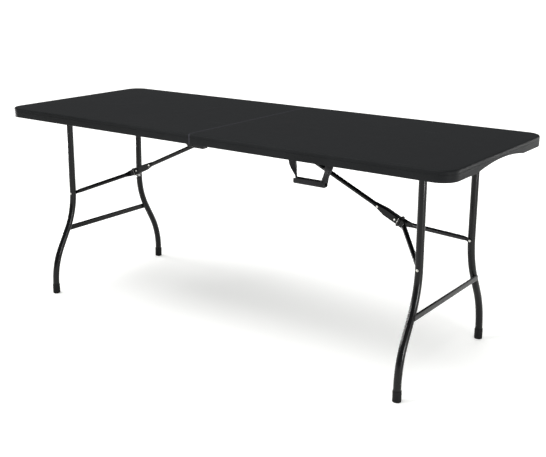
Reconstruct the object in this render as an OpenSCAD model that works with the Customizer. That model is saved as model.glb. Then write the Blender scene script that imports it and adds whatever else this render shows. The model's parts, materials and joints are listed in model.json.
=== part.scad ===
// Bi-fold table: two moulded half tops on steel rails, wishbone leg frames that fold
// inward under each half, jointed struts with slip rings, and a carry handle.
// Origin on the floor below the middle of the top; +X to the right end, +Y to the back.
// Every right-hand module is drawn at +X; the left-hand one is its mirror image.

/* [Table top] */
// Length of the open table
table_l = 1830; // [1520:10:2100]
// Width of the table
table_w = 700; // [580:5:840]
// Height of the top surface above the floor
table_h = 740; // [680:5:800]
// Height of the moulded rim
rim_h = 35; // [32:1:50]
// Thickness of the deck inside the rim
deck_t = 10; // [8:0.5:14]
// Thickness of the rim wall
rim_t = 5; // [4:0.5:8]
// Corner radius in plan
corner_r = 56; // [30:1:90]
// Radius of the rounded upper edge
edge_r = 6; // [3:0.5:9]
// Gap between the two halves
seam_gap = 1; // [0.8:0.1:3]
// Width of the handhold arch in each end wall
arch_w = 340; // [200:10:420]
// Rise of the handhold arch
arch_h = 15; // [8:1:18]
// Diameter of the moulded dimples under the deck
dimple_d = 34; // [20:1:44]
// Depth of the moulded dimples
dimple_h = 3; // [1:0.5:4]
// Spacing of the moulded dimples
dimple_pitch = 84; // [60:1:120]

/* [Side rails] */
// Outer diameter of the side rails
rail_d = 20; // [16:0.5:24]
// Wall of the side rails
rail_wall = 1.5; // [1:0.1:2.5]
// Gap between rail and rim wall
rail_side_gap = 6; // [5.5:0.5:12]
// Height of the rail's axis above the hinge plane
rail_rise = 14; // [12:0.5:18]
// Distance from the outer end of the top to the rail's end
rail_end_gap = 35; // [20:1:80]
// Positions of the first three screws along each rail, measured from the seam
screw_x = [110, 360, 560];
// Distance of the last screw from the rail's outer end
screw_end = 30; // [20:1:60]
// Radius of the screw shanks
screw_r = 2; // [1.5:0.1:3]

/* [Centre hinge] */
// Height of the hinge plane below the rim's lower edge
hinge_drop = 5; // [5:0.5:10]
// Radius of the hinge pins
hinge_pin_r = 3; // [2.5:0.1:3.4]
// Radius of the hinge knuckles
knuckle_r = 4.6; // [4.3:0.1:4.7]
// Length of the long hinge saddle, on the right half
saddle_long = 48; // [30:1:80]
// Length of the short hinge saddle, on the left half
saddle_short = 20; // [14:1:34]
// Depth of the saddles below the hinge plane
saddle_drop = 6; // [3:0.5:7]

/* [Leg frames] */
// Outer diameter of the leg tubes
leg_d = 25; // [22:0.5:28]
// Wall of the leg tubes
leg_wall = 1.5; // [1:0.1:2.5]
// Distance of the feet from the end of the table
foot_end = 145; // [115:1:175]
// Distance of the frame pivots from the end of the table
pivot_end = 159.3; // [150:0.1:180]
// Gap between the pivot tubes and the deck
pivot_gap = 1; // [0.5:0.1:2]
// Half the spacing of the legs at the top
leg_top_y = 188.3; // [150:0.1:200]
// Distance of the feet's axes from the long sides of the table
foot_side = 50; // [45:1:80]
// Height where the upper bend of a leg starts
bend_top_z = 399; // [360:1:430]
// Height where the lower bend of a leg ends
bend_foot_z = 42.6; // [40:0.1:80]
// Radius of both bends, on the tube's axis
bend_r = 300; // [200:5:320]
// Height of the lower crossbar above the floor
bar_z = 250; // [200:5:330]
// Height of the flat-oval crossbar's section
bar_h = 21.5; // [14:0.5:24]
// Thickness of the crossbar's section
bar_t = 8; // [6:0.5:8]
// Distance of the crossbar's axis inside the outer face of the legs
bar_sink = 2.5; // [2:0.1:3.5]
// Wall of the foot caps
foot_wall = 1.7; // [1.2:0.1:2.5]
// Height of the foot caps
foot_h = 38; // [25:1:45]

/* [Brace] */
// Outer diameter of struts and brace arms
strut_d = 16; // [12:0.5:16]
// Wall of struts and brace arms
strut_wall = 1.5; // [1:0.1:2.5]
// Distance of the strut pivot from the seam
strut_x = 36; // [34:1:60]
// Height of the strut pivot above the hinge plane
strut_rise = 25; // [24:0.5:26]
// Distance of the brace rivets from the frame pivot, along the leg
brace_drop = 324.8; // [280:0.1:340]
// Height of the knee channel's section
channel_h = 24; // [22:0.5:25]
// Gap between the strut and the walls of the knee channel
channel_gap = 1; // [0.5:0.1:1.5]
// Sheet thickness of knee channel and brackets
sheet_t = 2; // [1.5:0.1:2]
// Length of the channel on the strut's side of the knee
channel_back = 86; // [60:1:100]
// Length of the channel past the knee
channel_front = 24; // [22:1:30]
// Thickness of the flattened arm ends
arm_flat_t = 2.5; // [2:0.1:3]
// Distance of the lock ring's centre past the knee
ring_at = 16; // [14:0.5:16]
// Length of the lock ring
ring_l = 8; // [6:0.5:8]
// Wall of the lock ring
ring_wall = 2.5; // [2:0.1:2.5]

/* [Carry handle] */
// Centre of the handle, from the seam
handle_x = 458.5; // [440:1:470]
// Width over both loops
handle_w = 157; // [130:1:170]
// Width of each loop
loop_w = 26; // [20:1:30]
// Wall of each loop
loop_wall = 3.4; // [3:0.1:4]
// Drop of the grip's underside below the rail's axis
grip_drop = 80; // [60:1:100]
// Width of the trough-shaped grip
grip_w = 24; // [20:1:30]
// Height of the grip
grip_h = 17; // [12:1:22]

/* [Hidden] */
// Running fit of pins in their holes
fit = 0.05;
// Gap between pieces that move past each other
free_gap = 0.3;
// Face gap between pieces that are fixed together
weld_gap = 0.02;
// Gap between a crossbar's cut ends and the legs
bar_gap = 0.15;
// How far a neck's ends lie inside the pieces they join
inset = 0.3;

rim_z = table_h - rim_h;
deck_z = table_h - deck_t;
hinge_z = rim_z - hinge_drop;
half_l = table_l / 2;
half_w = table_w / 2;
rail_r = rail_d / 2;
rail_y = half_w - rim_t - rail_side_gap - rail_r;
rail_z = hinge_z + rail_rise;
rail_x0 = 16;
rail_x1 = half_l - rail_end_gap;
rail_in = rail_y - rail_r;
screws = concat(screw_x, [rail_x1 - screw_end]);

leg_r = leg_d / 2;
foot_x = half_l - foot_end;
pivot_x = half_l - pivot_end;
pivot_z = deck_z - pivot_gap - leg_r;
leg_foot_y = half_w - foot_side;
splay = atan((foot_x - pivot_x) / pivot_z);
leg_len = pivot_z / cos(splay);
bearing_t = 3;
bearing_in = rail_in - 0.5 - bearing_t;
tube_end = rail_in - free_gap - 0.1;
foot_r = leg_r + foot_wall;
foot_floor = 4;
collar_l = 1.5;
collar_rise = 0.2;

// Places on the leg's axis, measured down from the pivot. Two equal arcs and a straight
// slant between them join the upright parts; the arcs are no larger than fits between those.
bend_s1 = leg_len - bend_top_z / cos(splay);
foot_s = leg_len - bend_foot_z / cos(splay);
bend_out = leg_foot_y - leg_top_y;
bend_fall = foot_s - bend_s1;
bend_axis_r = min(bend_r, 0.99 * (bend_out ^ 2 + bend_fall ^ 2) / (4 * bend_out));
slant_l = sqrt((2 * bend_axis_r - bend_out) ^ 2 + bend_fall ^ 2 - (2 * bend_axis_r) ^ 2);
bend_a = atan2(bend_fall, 2 * bend_axis_r - bend_out) - atan2(slant_l, 2 * bend_axis_r);
bend_dy = bend_axis_r * (1 - cos(bend_a));
bend_ds = bend_axis_r * sin(bend_a);
bend_s2 = foot_s - bend_ds;
bar_s = leg_len - bar_z / cos(splay);
bar_y = leg_top_y + bend_dy + (bar_s - bend_s1 - bend_ds) * tan(bend_a);
bar_off = leg_r - bar_sink;

// The strut and the arms lie in one line both when open and when folded away
strut_r = strut_d / 2;
strut_z = hinge_z + strut_rise;
open_dx = pivot_x + brace_drop * sin(splay) - strut_x;
open_dz = strut_z - (pivot_z - brace_drop * cos(splay));
open_l = sqrt(open_dx ^ 2 + open_dz ^ 2);
shut_l = sqrt((pivot_x - brace_drop - strut_x) ^ 2 + (strut_z - pivot_z) ^ 2);
strut_l = (open_l + shut_l) / 2;
arm_l = (open_l - shut_l) / 2;
brace_a = atan(open_dz / open_dx);
channel_w = strut_d + 2 * (channel_gap + sheet_t);
channel_out = channel_w / 2;
arm_in = channel_out + free_gap;
arm_flat_h = 13;
strut_short = 48;
rivet_in = 12;
arm_leg_y = leg_top_y - leg_r - free_gap - arm_flat_t;
knee_pin_r = 3;
knee_pin_y = arm_in + arm_flat_t + 0.1;
rivet_r = 4;
rivet_head_r = 5.5;
rivet_head_h = 2;
ring_in_y = knee_pin_y + free_gap + 0.1;
ring_in_z = channel_h / 2 + free_gap + 0.1;
groove_w = channel_w + 4;
groove_h = 5;
groove_l = strut_l + channel_front + 20;
pocket_h = 3;

carrier_t = 8;
carrier_h = 16;
carrier_x = rail_x0 + 0.5;
bracket_sheet = 2.5;
bracket_back = 1.5;
bracket_h = 21;
bracket_low = 13;
bracket_nose = 9;
bracket_in = strut_r + 0.6;
bracket_out = bracket_in + bracket_sheet;
saddle_block_l = 24;
saddle_block_dip = 5;
screw_head_r = 4.6;
screw_tip_r = 2.6;
screw_head_h = 2.4;
screw_depth = 10;
plug_l = 14;
cap_t = 3;
bearing_half = 20;
bearing_tab_t = 2;
pin_head_t = 1.8;
tube_plug_l = 16;
handle_loop_r = rail_r + loop_wall;
fork_w = 3.6;
lug_w = 11.4;
saddle_x = 6;
saddle_h = 7;
slant_long = 4;
slant_short = 12;
plug_in = 30;

$fn = 64;
plastic = "#2b2c2e";
steel = "#3a3b3c";
zinc = "#b9b8b2";

// ---- helpers ----

// Cylinder along X or Y between two places on that axis
module rod_x(x0, x1, r) {
    translate([x0, 0, 0])
        rotate([0, 90, 0])
            cylinder(h = x1 - x0, r = r);
}

module rod_y(y0, y1, r) {
    translate([0, y0, 0])
        rotate([-90, 0, 0])
            cylinder(h = y1 - y0, r = r);
}

// Children at +Y and mirrored to -Y
module both_sides() {
    for (side = [-1, 1])
        mirror([0, side < 0 ? 1 : 0, 0])
            children();
}

// side -1 is the front, which is the mirror image of the back
module at_side(side) {
    mirror([0, side < 0 ? 1 : 0, 0])
        children();
}

module left_hand() {
    mirror([1, 0, 0])
        children();
}

// Leg frame's own frame: origin on the pivot axis, -Z down the leg
module leg_frame() {
    translate([pivot_x, 0, pivot_z])
        rotate([0, -splay, 0])
            children();
}

// Brace's own frame: origin at the strut pivot, +X along the strut to the leg
module brace_frame() {
    translate([strut_x, 0, strut_z])
        rotate([0, brace_a, 0])
            children();
}

module knee_frame() {
    brace_frame()
        translate([strut_l, 0, 0])
            children();
}

// ---- moulded top ----

// Plan outline of a half top, drawn in by d on its three outer sides
module half_outline(d, x0) {
    r = corner_r - d;
    translate([x0, -half_w + d])
        square([half_l - corner_r - x0, table_w - 2 * d]);
    translate([half_l - corner_r, -half_w + corner_r])
        square([r, table_w - 2 * corner_r]);
    for (side = [-1, 1])
        translate([half_l - corner_r, side * (half_w - corner_r)])
            circle(r = r, $fn = 96);
}

// Rounded upper edge: long sides, end and the two corners between them
module edge_round(x0) {
    z = table_h - edge_r;
    for (side = [-1, 1]) {
        translate([0, side * (half_w - edge_r), z])
            rod_x(x0, half_l - corner_r, edge_r);
        translate([half_l - corner_r, side * (half_w - corner_r), z])
            rotate([0, 0, side > 0 ? 0 : -90])
                rotate_extrude(angle = 90, $fn = 96)
                    translate([corner_r - edge_r, 0])
                        circle(r = edge_r, $fn = 48);
    }
    translate([half_l - edge_r, 0, z])
        rod_y(-half_w + corner_r, half_w - corner_r, edge_r);
}

module deck_dimples() {
    rows = floor((rail_in - groove_w) / dimple_pitch);
    cols = floor((pivot_x - strut_x - dimple_pitch) / dimple_pitch);
    x0 = strut_x + 1.2 * dimple_pitch;
    y0 = groove_w + 0.5 * dimple_pitch;
    for (i = [0 : cols - 1])
        for (j = [0 : rows - 1])
            both_sides()
                translate([x0 + i * dimple_pitch, y0 + j * dimple_pitch, deck_z - 1])
                    cylinder(h = dimple_h + 1, r1 = dimple_d / 2, r2 = dimple_d / 2 - dimple_h,
                             $fn = 32);
}

module right_top() {
    x0 = seam_gap / 2;
    arch_r = ((arch_w / 2) ^ 2 + arch_h ^ 2) / (2 * arch_h);
    color(plastic)
        difference() {
            union() {
                translate([0, 0, rim_z])
                    linear_extrude(rim_h - edge_r)
                        half_outline(0, x0);
                translate([0, 0, table_h - edge_r - 0.5])
                    linear_extrude(edge_r + 0.5)
                        half_outline(edge_r, x0);
                edge_round(x0);
            }
            translate([0, 0, rim_z - 1])
                linear_extrude(rim_h - deck_t + 1)
                    half_outline(rim_t, x0 + rim_t);
            // handhold arch in the end wall
            translate([half_l - rim_t - 1, 0, rim_z + arch_h - arch_r])
                rod_x(0, rim_t + 2, arch_r, $fn = 128);
            // groove for the strut and pockets for the feet
            translate([x0 + rim_t, -groove_w / 2, deck_z - 1])
                cube([groove_l, groove_w, groove_h + 1]);
            both_sides()
                translate([strut_x - 4, leg_foot_y - foot_r - 2, deck_z - 1])
                    cube([foot_h + 20, 2 * foot_r + 4, pocket_h + 1]);
            deck_dimples();
            for (x = screws)
                both_sides()
                    translate([x, rail_y, deck_z - 1])
                        cylinder(h = 7, r = screw_r + weld_gap);
        }
}

// ---- side rails and what they carry ----

module rail(side) {
    color(steel)
        at_side(side)
            translate([0, rail_y, rail_z])
                difference() {
                    rod_x(rail_x0, rail_x1, rail_r);
                    rod_x(rail_x0 - 1, rail_x1 + 1, rail_r - rail_wall);
                    for (x = screws)
                        translate([x, 0, -rail_r - 1])
                            cylinder(h = rail_d + 2, r = screw_r + weld_gap);
                }
}

module rail_saddles() {
    color(plastic)
        both_sides()
            for (x = screws)
                translate([x, rail_y, rail_z])
                    difference() {
                        translate([-saddle_block_l / 2, -rail_r, rail_r - saddle_block_dip])
                            cube([saddle_block_l, rail_d, deck_z - rail_z - rail_r + saddle_block_dip]);
                        rod_x(-saddle_block_l, saddle_block_l, rail_r + weld_gap);
                        cylinder(h = 2 * rail_d, r = screw_r + weld_gap);
                    }
}

module rail_screws() {
    color(zinc)
        both_sides()
            for (x = screws)
                translate([x, rail_y, rail_z - rail_r]) {
                    cylinder(h = rail_d + screw_depth, r = screw_r);
                    translate([0, 0, -screw_head_h])
                        cylinder(h = screw_head_h, r1 = screw_tip_r, r2 = screw_head_r);
                }
}

module rail_plugs() {
    color(plastic)
        both_sides()
            translate([0, rail_y, rail_z]) {
                rod_x(rail_x1 - plug_l, rail_x1 + 0.5, rail_r - rail_wall - weld_gap);
                rod_x(rail_x1 + weld_gap, rail_x1 + cap_t, rail_r);
            }
}

// Flat bar from rail to rail that carries the strut's bracket
module strut_carrier() {
    color(steel)
        difference() {
            translate([carrier_x, -rail_y + 3, strut_z - carrier_h + 3])
                cube([carrier_t, 2 * rail_y - 6, carrier_h]);
            both_sides()
                translate([0, rail_y, rail_z])
                    rod_x(rail_x0 - 1, 60, rail_r + weld_gap);
        }
}

module strut_bracket() {
    x0 = carrier_x + carrier_t;
    color(steel)
        difference() {
            union() {
                translate([x0, -bracket_out, strut_z - bracket_low])
                    cube([bracket_back, 2 * bracket_out, bracket_h]);
                both_sides()
                    translate([x0, bracket_in, strut_z - bracket_low])
                        cube([strut_x - x0 + bracket_nose, bracket_sheet, bracket_h]);
            }
            translate([strut_x, 0, strut_z])
                rod_y(-20, 20, knee_pin_r + fit);
        }
}

module strut_pin() {
    color(zinc)
        translate([strut_x, 0, strut_z]) {
            rod_y(-bracket_out, bracket_out, knee_pin_r);
            both_sides()
                rod_y(bracket_out + weld_gap, bracket_out + pin_head_t, knee_pin_r + 1.5);
            rod_y(-bracket_out - 1, bracket_out + 1, knee_pin_r - 0.5);
        }
}

// Plates on the rails' inner sides that the pivot tube turns in
module leg_bearings() {
    color(steel)
        both_sides()
            difference() {
                union() {
                    translate([pivot_x - bearing_half, bearing_in, hinge_z + 1])
                        cube([2 * bearing_half, bearing_t, deck_z - hinge_z - 1]);
                    translate([pivot_x - bearing_half, bearing_in, deck_z - bearing_tab_t])
                        cube([2 * bearing_half, rail_d, bearing_tab_t]);
                }
                translate([pivot_x, 0, pivot_z])
                    rod_y(bearing_in - 1, bearing_in + bearing_t + 1, leg_r + fit);
            }
}

// ---- centre hinge ----

// Plug in the rail's end, block, and a saddle under the rail; drawn on the rail's axis
module hinge_body(len, slant) {
    difference() {
        union() {
            translate([0, rail_y, rail_z])
                rod_x(rail_x0 - 1, rail_x0 + plug_in, rail_r - rail_wall - weld_gap);
            translate([saddle_x, rail_y - rail_r, hinge_z])
                cube([rail_x0 - saddle_x - weld_gap, rail_d, rail_rise + 8]);
            translate([0, rail_y + rail_r + 1, 0])
                rotate([90, 0, 0])
                    linear_extrude(rail_d + 2)
                        polygon([[saddle_x, hinge_z], [saddle_x + 2, hinge_z - saddle_drop],
                                 [saddle_x + len - slant, hinge_z - saddle_drop],
                                 [saddle_x + len, hinge_z + saddle_h], [saddle_x, hinge_z + saddle_h]]);
        }
        difference() {
            translate([0, rail_y, rail_z])
                rod_x(rail_x0, saddle_x + len + 1, rail_r + weld_gap);
            translate([0, rail_y, rail_z])
                rod_x(rail_x0 - 1, rail_x0 + plug_in, rail_r - rail_wall - weld_gap);
        }
    }
}

// Lug from the block to the hinge pin, y0 to y1 across the rail
module hinge_lug(y0, y1) {
    translate([0, rail_y, hinge_z]) {
        rod_y(y0, y1, knuckle_r);
        translate([0, y0, 0])
            cube([saddle_x + 1, y1 - y0, knuckle_r]);
    }
}

module right_hinge_leaves() {
    color(steel)
        both_sides()
            difference() {
                union() {
                    hinge_body(saddle_long, slant_long);
                    hinge_lug(-rail_r, -rail_r + fork_w);
                    hinge_lug(rail_r - fork_w, rail_r);
                }
                translate([0, rail_y, hinge_z])
                    rod_y(-rail_r - 1, rail_r + 1, hinge_pin_r + fit);
            }
}

module left_hinge_leaves() {
    color(steel)
        left_hand()
            both_sides()
                difference() {
                    union() {
                        hinge_body(saddle_short, slant_short);
                        hinge_lug(-lug_w / 2, lug_w / 2);
                    }
                    translate([0, rail_y, hinge_z])
                        rod_y(-rail_r - 1, rail_r + 1, hinge_pin_r + fit);
                }
}

module hinge_pins() {
    color(zinc)
        both_sides()
            translate([0, rail_y, hinge_z]) {
                rod_y(-rail_r - pin_head_t, rail_r + pin_head_t, hinge_pin_r);
                rod_y(-rail_r - pin_head_t, -rail_r - weld_gap, hinge_pin_r + 1.2);
                rod_y(rail_r + weld_gap, rail_r + pin_head_t, hinge_pin_r + 1.2);
            }
}

// ---- leg frames ----

module pivot_tube() {
    color(steel)
        leg_frame()
            difference() {
                rod_y(-tube_end, tube_end, leg_r);
                rod_y(-tube_end - 1, tube_end + 1, leg_r - leg_wall);
            }
}

module tube_plugs() {
    color(plastic)
        leg_frame()
            both_sides()
                rod_y(tube_end - tube_plug_l, tube_end, leg_r - leg_wall - weld_gap);
}

// Low collar that joins two lengths of a bent tube; dir is the tube's lean from upright
module tube_joint(y, s, dir, r) {
    translate([0, y, -s])
        rotate([dir, 0, 0])
            translate([0, 0, -collar_l / 2])
                cylinder(h = collar_l, r = r + collar_rise);
}

// Axis of a leg as a solid of radius r: straight, bend, slant, bend, straight
module leg_path(r, s_end) {
    tube_joint(leg_top_y + bend_dy, bend_s1 + bend_ds, bend_a, r);
    tube_joint(leg_foot_y - bend_dy, bend_s2, bend_a, r);
    tube_joint(leg_foot_y, foot_s, 0, r);
    translate([0, leg_top_y, -bend_s1])
        cylinder(h = bend_s1, r = r);
    translate([0, leg_top_y + bend_axis_r, -bend_s1])
        rotate([180, 0, 0])
            rotate([90, 0, 90])
                rotate_extrude(angle = bend_a, $fn = 128)
                    translate([bend_axis_r, 0])
                        circle(r = r, $fn = 48);
    translate([0, leg_top_y + bend_dy, -bend_s1 - bend_ds])
        rotate([180 + bend_a, 0, 0])
            cylinder(h = slant_l, r = r);
    translate([0, leg_foot_y - bend_axis_r, -foot_s])
        rotate([90, 0, 90])
            rotate_extrude(angle = bend_a, $fn = 128)
                translate([bend_axis_r, 0])
                    circle(r = r, $fn = 48);
    translate([0, leg_foot_y, -s_end])
        cylinder(h = s_end - foot_s, r = r);
}

module leg(side) {
    color(steel)
        at_side(side)
            leg_frame()
                difference() {
                    leg_path(leg_r, leg_len - foot_floor - 1);
                    leg_path(leg_r - leg_wall, leg_len);
                    rod_y(leg_top_y - 30, leg_top_y + 30, leg_r + weld_gap);
                    translate([0, 0, -brace_drop])
                        rod_y(leg_top_y - 30, leg_top_y + 30, rivet_r + weld_gap);
                }
}

// Flat-oval bar on the outer side of the legs, cut to the tubes at both ends
module leg_crossbar() {
    color(steel)
        leg_frame()
            difference() {
                translate([bar_off, 0, -bar_s])
                    rotate([90, 0, 0])
                        linear_extrude(2 * bar_y + 4, center = true) {
                            square([bar_t, bar_h - bar_t], center = true);
                            for (side = [-1, 1])
                                translate([0, side * (bar_h - bar_t) / 2])
                                    circle(d = bar_t);
                        }
                both_sides()
                    translate([0, bar_y, -bar_s])
                        rotate([180 + bend_a, 0, 0])
                            cylinder(h = 80, r = leg_r + bar_gap, center = true);
            }
}

// Cup that the leg stands in, trimmed level with the floor
module foot(side) {
    color(plastic)
        at_side(side)
            intersection() {
                leg_frame()
                    translate([0, leg_foot_y, -leg_len])
                        difference() {
                            union() {
                                translate([0, 0, -1])
                                    cylinder(h = 3, r1 = foot_r - 2.4, r2 = foot_r);
                                translate([0, 0, 2])
                                    cylinder(h = foot_h - 4, r = foot_r);
                                translate([0, 0, foot_h - 2])
                                    cylinder(h = 2, r1 = foot_r, r2 = foot_r - 1);
                            }
                            translate([0, 0, foot_floor])
                                cylinder(h = foot_h, r = leg_r + weld_gap);
                        }
                translate([foot_x - 50, leg_foot_y - 50, 0])
                    cube([100, 100, 100]);
            }
}

module leg_rivets() {
    color(zinc)
        leg_frame()
            translate([0, 0, -brace_drop])
                both_sides() {
                    rod_y(leg_top_y - leg_r, leg_top_y + leg_r + rivet_head_h, rivet_r);
                    rod_y(leg_top_y + leg_r + weld_gap, leg_top_y + leg_r + rivet_head_h, rivet_head_r);
                }
}

// ---- brace ----

module strut() {
    end = strut_l - strut_short;
    color(steel)
        brace_frame()
            difference() {
                rod_x(-4, end, strut_r);
                rod_x(-5, end + 1, strut_r - strut_wall);
                rod_y(-20, 20, knee_pin_r + fit);
                translate([strut_l - channel_back + rivet_in, 0, 0])
                    rod_y(-20, 20, rivet_r + weld_gap);
            }
}

// Sheet channel, open below, clasping the strut's end and reaching past the knee
module knee_channel() {
    len = channel_back + channel_front;
    color(steel)
        knee_frame()
            difference() {
                translate([-channel_back, -channel_out, -channel_h / 2])
                    cube([len, channel_w, channel_h]);
                translate([-channel_back - 1, -channel_out + sheet_t, -channel_h / 2 - 1])
                    cube([len + 2, channel_w - 2 * sheet_t, channel_h - sheet_t + 1]);
                rod_y(-20, 20, knee_pin_r + fit);
                translate([-channel_back + rivet_in, 0, 0])
                    rod_y(-20, 20, rivet_r + weld_gap);
            }
}

module channel_rivet() {
    color(zinc)
        knee_frame()
            translate([-channel_back + rivet_in, 0, 0])
                rod_y(-channel_out - 0.2, channel_out + 0.2, rivet_r);
}

module knee_pin() {
    color(zinc)
        knee_frame()
            rod_y(-knee_pin_y, knee_pin_y, knee_pin_r);
}

// Slip ring that holds channel and arms in line
module lock_ring() {
    color(zinc)
        knee_frame()
            translate([ring_at - ring_l / 2, 0, 0])
                difference() {
                    translate([0, -ring_in_y - ring_wall, -ring_in_z - ring_wall])
                        cube([ring_l, 2 * (ring_in_y + ring_wall), 2 * (ring_in_z + ring_wall)]);
                    translate([-1, -ring_in_y, -ring_in_z])
                        cube([ring_l + 2, 2 * ring_in_y, 2 * ring_in_z]);
                }
}

// Flattened end of an arm: plate with a round tip about a hole at the origin
module arm_tip(y, len) {
    translate([0, y, 0]) {
        rod_y(0, arm_flat_t, arm_flat_h / 2);
        translate([0, 0, -arm_flat_h / 2])
            cube([len, arm_flat_t, arm_flat_h]);
    }
}

// Start of a neck, a little inside the flat tip that it grows from
module neck_root(x, y) {
    translate([x, y + inset, -arm_flat_h / 2 + inset])
        cube([2, arm_flat_t - 2 * inset, arm_flat_h - 2 * inset]);
}

// Other end of a neck, a little inside the tube
module neck_end(at, yaw, shift) {
    translate(at)
        rotate([0, 90, yaw])
            translate([0, 0, shift])
                cylinder(h = 1, r = strut_r - inset, $fn = 32);
}

// Arm from knee to leg: flat tip, tapered neck, tube, tapered neck, flat tip
module arm(side) {
    knee_tip = 26;
    leg_tip = 10;
    p0 = [46, arm_in + 19, 0];
    p1 = [arm_l - 24, arm_leg_y - 10, 0];
    span = p1 - p0;
    yaw = atan2(span[1], span[0]);
    color(steel)
        knee_frame()
            at_side(side)
                difference() {
                    union() {
                        arm_tip(arm_in, knee_tip);
                        hull() {
                            neck_root(knee_tip - 4, arm_in);
                            neck_end(p0, yaw, 0);
                        }
                        translate(p0)
                            rotate([0, 90, yaw])
                                cylinder(h = norm(span), r = strut_r);
                        hull() {
                            neck_end(p1, yaw, -1);
                            neck_root(arm_l - leg_tip + 2, arm_leg_y);
                        }
                        translate([arm_l, 0, 0])
                            mirror([1, 0, 0])
                                arm_tip(arm_leg_y, leg_tip);
                    }
                    rod_y(0, 30, knee_pin_r + fit);
                    translate([arm_l, 0, 0])
                        rod_y(arm_leg_y - 10, arm_leg_y + 10, rivet_r + weld_gap);
                }
}

module arm_rivets() {
    color(zinc)
        knee_frame()
            translate([arm_l, 0, 0])
                both_sides() {
                    rod_y(arm_leg_y - rivet_head_h, arm_leg_y + arm_flat_t, rivet_r);
                    rod_y(arm_leg_y - rivet_head_h, arm_leg_y - weld_gap, rivet_head_r);
                }
}

// ---- carry handle ----

module carry_handle() {
    x1 = handle_w / 2;
    grip_x = x1 - loop_w + 2;
    color(plastic)
        translate([handle_x, -rail_y, rail_z])
            difference() {
                union() {
                    for (side = [-1, 1])
                        mirror([side < 0 ? 1 : 0, 0, 0]) {
                            rod_x(x1 - loop_w, x1, handle_loop_r);
                            hull() {
                                translate([x1 - loop_w, -4, -handle_loop_r - 2])
                                    cube([loop_w, 8, 6]);
                                translate([grip_x - 4, 0, -grip_drop + grip_h])
                                    rotate([0, 0, -40])
                                        translate([-2.5, -grip_w / 2 + 1, -4])
                                            cube([5, grip_w - 2, 4]);
                            }
                        }
                    translate([-grip_x, 0, -grip_drop])
                        rotate([90, 0, 90])
                            linear_extrude(2 * grip_x)
                                grip_section();
                }
                rod_x(-x1 - 1, x1 + 1, rail_r + fit);
            }
}

// Trough with rounded lower corners, open above
module grip_section() {
    r = 6;
    wall = 3.5;
    difference() {
        union() {
            translate([-grip_w / 2, r])
                square([grip_w, grip_h - r]);
            translate([-grip_w / 2 + r, 0])
                square([grip_w - 2 * r, grip_h]);
            for (side = [-1, 1])
                translate([side * (grip_w / 2 - r), r])
                    circle(r = r);
        }
        translate([-grip_w / 2 + wall, wall])
            square([grip_w - 2 * wall, grip_h]);
    }
}

// ---- the model ----

hinge_pins();
carry_handle();

right_top();
rail(-1);  // right_front_rail
rail(1);  // right_rear_rail
rail_saddles();  // right_rail_saddles
rail_screws();  // right_rail_screws
rail_plugs();  // right_rail_plugs
strut_carrier();  // right_strut_carrier
strut_bracket();  // right_strut_bracket
strut_pin();  // right_strut_pin
leg_bearings();  // right_leg_bearings
right_hinge_leaves();
pivot_tube();  // right_pivot_tube
tube_plugs();  // right_tube_plugs
leg(-1);  // right_front_leg
leg(1);  // right_rear_leg
leg_crossbar();  // right_leg_crossbar
foot(-1);  // right_front_foot
foot(1);  // right_rear_foot
leg_rivets();  // right_leg_rivets
strut();  // right_strut
knee_channel();  // right_knee_channel
channel_rivet();  // right_channel_rivet
knee_pin();  // right_knee_pin
lock_ring();  // right_lock_ring
arm(-1);  // right_front_arm
arm(1);  // right_rear_arm
arm_rivets();  // right_arm_rivets

left_hand() right_top();  // left_top
left_hand() rail(-1);  // left_front_rail
left_hand() rail(1);  // left_rear_rail
left_hand() rail_saddles();  // left_rail_saddles
left_hand() rail_screws();  // left_rail_screws
left_hand() rail_plugs();  // left_rail_plugs
left_hand() strut_carrier();  // left_strut_carrier
left_hand() strut_bracket();  // left_strut_bracket
left_hand() strut_pin();  // left_strut_pin
left_hand() leg_bearings();  // left_leg_bearings
left_hinge_leaves();
left_hand() pivot_tube();  // left_pivot_tube
left_hand() tube_plugs();  // left_tube_plugs
left_hand() leg(-1);  // left_front_leg
left_hand() leg(1);  // left_rear_leg
left_hand() leg_crossbar();  // left_leg_crossbar
left_hand() foot(-1);  // left_front_foot
left_hand() foot(1);  // left_rear_foot
left_hand() leg_rivets();  // left_leg_rivets
left_hand() strut();  // left_strut
left_hand() knee_channel();  // left_knee_channel
left_hand() channel_rivet();  // left_channel_rivet
left_hand() knee_pin();  // left_knee_pin
left_hand() lock_ring();  // left_lock_ring
left_hand() arm(-1);  // left_front_arm
left_hand() arm(1);  // left_rear_arm
left_hand() arm_rivets();  // left_arm_rivets
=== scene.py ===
import json
from math import atan2, ceil, cos, hypot, pi, radians, sin, sqrt

import bpy
from mathutils import Matrix, Vector


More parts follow.
